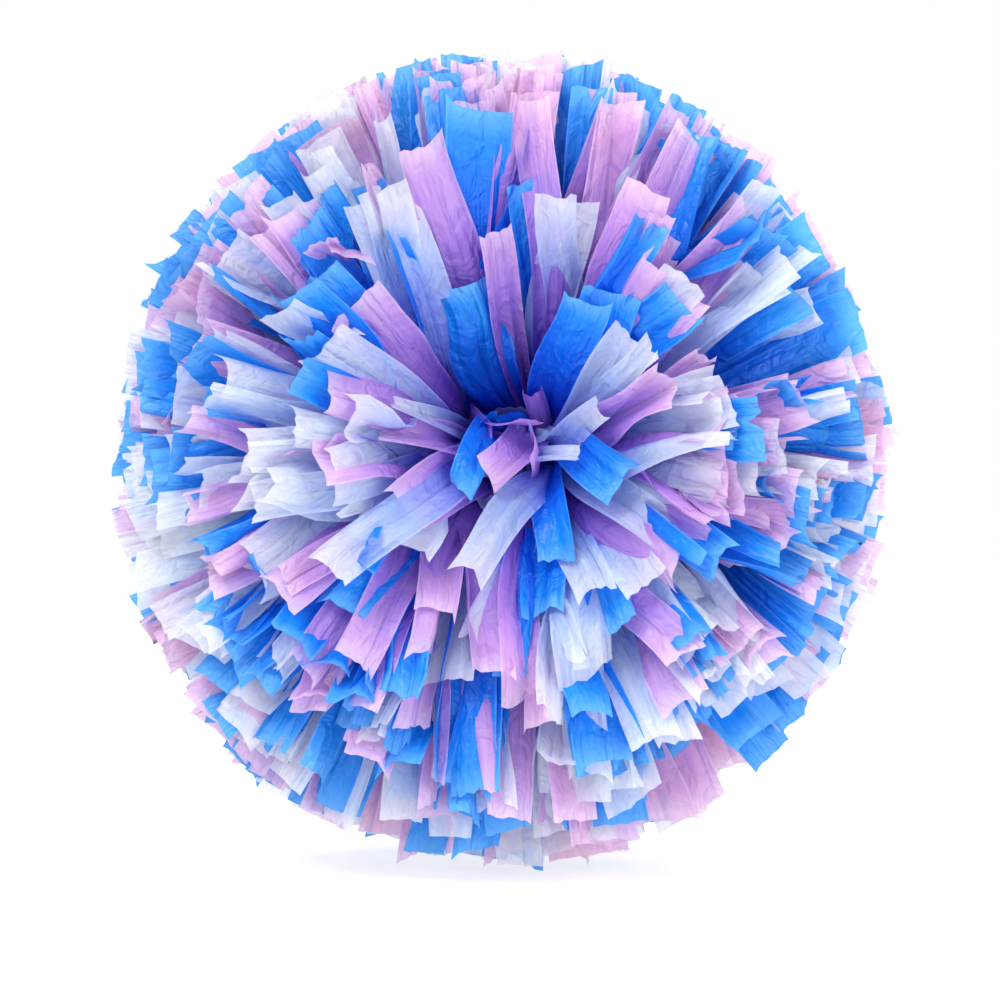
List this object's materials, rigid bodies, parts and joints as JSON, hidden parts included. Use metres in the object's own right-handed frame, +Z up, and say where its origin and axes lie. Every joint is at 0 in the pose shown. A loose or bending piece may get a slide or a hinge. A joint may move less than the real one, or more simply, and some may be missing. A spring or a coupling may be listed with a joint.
{
  "type": "cheer pom pom",
  "caption": "Round cheerleading pom pom of fringed blue, white and pink plastic film, tied to the ends of a hidden baton handle.",
  "frame": {"origin": "middle of the baton handle, which is the centre of the ball of streamers", "axes": "+Y along the handle, with the front bunch at -Y and the rear bunch at +Y; +X to the right seen from the front; +Z up"},
  "size_m": [0.3138, 0.3238, 0.3238],
  "materials": {
    "film_blue": "thin crinkled azure plastic film, slightly see-through, soft sheen",
    "film_white": "thin crinkled milky white plastic film, see-through, soft sheen",
    "film_pink": "thin crinkled lilac pink plastic film, slightly see-through, soft sheen",
    "baton_plastic": "white moulded plastic, fine grain",
    "tie_nylon": "natural nylon, slightly see-through",
    "binding_tape": "grey adhesive tape, fine wrinkles",
    "pin_steel": "drawn steel pin"
  },
  "bodies": {
    "handle": {"baton_tube": "baton_plastic", "front_end_plug": "baton_plastic", "rear_end_plug": "baton_plastic", "front_plug_pin": "pin_steel", "rear_plug_pin": "pin_steel", "front_waist": "film_white", "rear_waist": "film_white", "front_waist_tape": "binding_tape", "rear_waist_tape": "binding_tape", "front_cable_tie_left": "tie_nylon", "front_cable_tie_right": "tie_nylon", "rear_cable_tie_left": "tie_nylon", "rear_cable_tie_right": "tie_nylon", "front_centre_tuft": "film_pink", "rear_centre_tuft": "film_pink"},
    "front_right_inner": {"fan_front_right_inner": "film_blue"},
    "front_right_middle": {"fan_front_right_middle": "film_white"},
    "front_right_outer": {"fan_front_right_outer": "film_pink"},
    "front_top_inner": {"fan_front_top_inner": "film_white"},
    "front_top_middle": {"fan_front_top_middle": "film_pink"},
    "front_top_outer": {"fan_front_top_outer": "film_blue"},
    "front_left_inner": {"fan_front_left_inner": "film_pink"},
    "front_left_middle": {"fan_front_left_middle": "film_blue"},
    "front_left_outer": {"fan_front_left_outer": "film_white"},
    "front_bottom_inner": {"fan_front_bottom_inner": "film_blue"},
    "front_bottom_middle": {"fan_front_bottom_middle": "film_white"},
    "front_bottom_outer": {"fan_front_bottom_outer": "film_pink"},
    "rear_right_inner": {"fan_rear_right_inner": "film_blue"},
    "rear_right_middle": {"fan_rear_right_middle": "film_white"},
    "rear_right_outer": {"fan_rear_right_outer": "film_pink"},
    "rear_top_inner": {"fan_rear_top_inner": "film_white"},
    "rear_top_middle": {"fan_rear_top_middle": "film_pink"},
    "rear_top_outer": {"fan_rear_top_outer": "film_blue"},
    "rear_left_inner": {"fan_rear_left_inner": "film_pink"},
    "rear_left_middle": {"fan_rear_left_middle": "film_blue"},
    "rear_left_outer": {"fan_rear_left_outer": "film_white"},
    "rear_bottom_inner": {"fan_rear_bottom_inner": "film_blue"},
    "rear_bottom_middle": {"fan_rear_bottom_middle": "film_white"},
    "rear_bottom_outer": {"fan_rear_bottom_outer": "film_pink"}
  },
  "joints": [
    {"name": "front_right_part", "type": "hinge", "parent": "handle", "child": "front_right_inner", "pos_m": [0, -0.061, 0], "axis": [0, 0, -1], "range_deg": [0, 36], "stiffness_Nm_per_rad": 0.3},
    {"name": "front_right_middle_bend", "type": "hinge", "parent": "handle", "child": "front_right_middle", "pos_m": [0, -0.061, 0], "axis": [0, 0, -1], "range_deg": [0, 24], "stiffness_Nm_per_rad": 0.2},
    {"name": "front_right_outer_bend", "type": "hinge", "parent": "handle", "child": "front_right_outer", "pos_m": [0, -0.061, 0], "axis": [0, 0, -1], "range_deg": [0, 12], "stiffness_Nm_per_rad": 0.1},
    {"name": "front_top_part", "type": "hinge", "parent": "handle", "child": "front_top_inner", "pos_m": [0, -0.061, 0], "axis": [1, 0, 0], "range_deg": [0, 36], "stiffness_Nm_per_rad": 0.3},
    {"name": "front_top_middle_bend", "type": "hinge", "parent": "handle", "child": "front_top_middle", "pos_m": [0, -0.061, 0], "axis": [1, 0, 0], "range_deg": [0, 24], "stiffness_Nm_per_rad": 0.2},
    {"name": "front_top_outer_bend", "type": "hinge", "parent": "handle", "child": "front_top_outer", "pos_m": [0, -0.061, 0], "axis": [1, 0, 0], "range_deg": [0, 12], "stiffness_Nm_per_rad": 0.1},
    {"name": "front_left_part", "type": "hinge", "parent": "handle", "child": "front_left_inner", "pos_m": [0, -0.061, 0], "axis": [0, 0, 1], "range_deg": [0, 36], "stiffness_Nm_per_rad": 0.3},
    {"name": "front_left_middle_bend", "type": "hinge", "parent": "handle", "child": "front_left_middle", "pos_m": [0, -0.061, 0], "axis": [0, 0, 1], "range_deg": [0, 24], "stiffness_Nm_per_rad": 0.2},
    {"name": "front_left_outer_bend", "type": "hinge", "parent": "handle", "child": "front_left_outer", "pos_m": [0, -0.061, 0], "axis": [0, 0, 1], "range_deg": [0, 12], "stiffness_Nm_per_rad": 0.1},
    {"name": "front_bottom_part", "type": "hinge", "parent": "handle", "child": "front_bottom_inner", "pos_m": [0, -0.061, 0], "axis": [-1, 0, 0], "range_deg": [0, 36], "stiffness_Nm_per_rad": 0.3},
    {"name": "front_bottom_middle_bend", "type": "hinge", "parent": "handle", "child": "front_bottom_middle", "pos_m": [0, -0.061, 0], "axis": [-1, 0, 0], "range_deg": [0, 24], "stiffness_Nm_per_rad": 0.2},
    {"name": "front_bottom_outer_bend", "type": "hinge", "parent": "handle", "child": "front_bottom_outer", "pos_m": [0, -0.061, 0], "axis": [-1, 0, 0], "range_deg": [0, 12], "stiffness_Nm_per_rad": 0.1},
    {"name": "rear_right_part", "type": "hinge", "parent": "handle", "child": "rear_right_inner", "pos_m": [0, 0.061, 0], "axis": [0, 0, 1], "range_deg": [0, 36], "stiffness_Nm_per_rad": 0.3},
    {"name": "rear_right_middle_bend", "type": "hinge", "parent": "handle", "child": "rear_right_middle", "pos_m": [0, 0.061, 0], "axis": [0, 0, 1], "range_deg": [0, 24], "stiffness_Nm_per_rad": 0.2},
    {"name": "rear_right_outer_bend", "type": "hinge", "parent": "handle", "child": "rear_right_outer", "pos_m": [0, 0.061, 0], "axis": [0, 0, 1], "range_deg": [0, 12], "stiffness_Nm_per_rad": 0.1},
    {"name": "rear_top_part", "type": "hinge", "parent": "handle", "child": "rear_top_inner", "pos_m": [0, 0.061, 0], "axis": [-1, 0, 0], "range_deg": [0, 36], "stiffness_Nm_per_rad": 0.3},
    {"name": "rear_top_middle_bend", "type": "hinge", "parent": "handle", "child": "rear_top_middle", "pos_m": [0, 0.061, 0], "axis": [-1, 0, 0], "range_deg": [0, 24], "stiffness_Nm_per_rad": 0.2},
    {"name": "rear_top_outer_bend", "type": "hinge", "parent": "handle", "child": "rear_top_outer", "pos_m": [0, 0.061, 0], "axis": [-1, 0, 0], "range_deg": [0, 12], "stiffness_Nm_per_rad": 0.1},
    {"name": "rear_left_part", "type": "hinge", "parent": "handle", "child": "rear_left_inner", "pos_m": [0, 0.061, 0], "axis": [0, 0, -1], "range_deg": [0, 36], "stiffness_Nm_per_rad": 0.3},
    {"name": "rear_left_middle_bend", "type": "hinge", "parent": "handle", "child": "rear_left_middle", "pos_m": [0, 0.061, 0], "axis": [0, 0, -1], "range_deg": [0, 24], "stiffness_Nm_per_rad": 0.2},
    {"name": "rear_left_outer_bend", "type": "hinge", "parent": "handle", "child": "rear_left_outer", "pos_m": [0, 0.061, 0], "axis": [0, 0, -1], "range_deg": [0, 12], "stiffness_Nm_per_rad": 0.1},
    {"name": "rear_bottom_part", "type": "hinge", "parent": "handle", "child": "rear_bottom_inner", "pos_m": [0, 0.061, 0], "axis": [1, 0, 0], "range_deg": [0, 36], "stiffness_Nm_per_rad": 0.3},
    {"name": "rear_bottom_middle_bend", "type": "hinge", "parent": "handle", "child": "rear_bottom_middle", "pos_m": [0, 0.061, 0], "axis": [1, 0, 0], "range_deg": [0, 24], "stiffness_Nm_per_rad": 0.2},
    {"name": "rear_bottom_outer_bend", "type": "hinge", "parent": "handle", "child": "rear_bottom_outer", "pos_m": [0, 0.061, 0], "axis": [1, 0, 0], "range_deg": [0, 12], "stiffness_Nm_per_rad": 0.1}
  ],
  "couplings": [
    {"joint": "front_right_middle_bend", "follows": "front_right_part", "ratio": 0.6666},
    {"joint": "front_right_outer_bend", "follows": "front_right_part", "ratio": 0.3333},
    {"joint": "front_top_middle_bend", "follows": "front_top_part", "ratio": 0.6666},
    {"joint": "front_top_outer_bend", "follows": "front_top_part", "ratio": 0.3333},
    {"joint": "front_left_middle_bend", "follows": "front_left_part", "ratio": 0.6666},
    {"joint": "front_left_outer_bend", "follows": "front_left_part", "ratio": 0.3333},
    {"joint": "front_bottom_middle_bend", "follows": "front_bottom_part", "ratio": 0.6666},
    {"joint": "front_bottom_outer_bend", "follows": "front_bottom_part", "ratio": 0.3333},
    {"joint": "rear_right_middle_bend", "follows": "rear_right_part", "ratio": 0.6666},
    {"joint": "rear_right_outer_bend", "follows": "rear_right_part", "ratio": 0.3333},
    {"joint": "rear_top_middle_bend", "follows": "rear_top_part", "ratio": 0.6666},
    {"joint": "rear_top_outer_bend", "follows": "rear_top_part", "ratio": 0.3333},
    {"joint": "rear_left_middle_bend", "follows": "rear_left_part", "ratio": 0.6666},
    {"joint": "rear_left_outer_bend", "follows": "rear_left_part", "ratio": 0.3333},
    {"joint": "rear_bottom_middle_bend", "follows": "rear_bottom_part", "ratio": 0.6666},
    {"joint": "rear_bottom_outer_bend", "follows": "rear_bottom_part", "ratio": 0.3333}
  ]
}
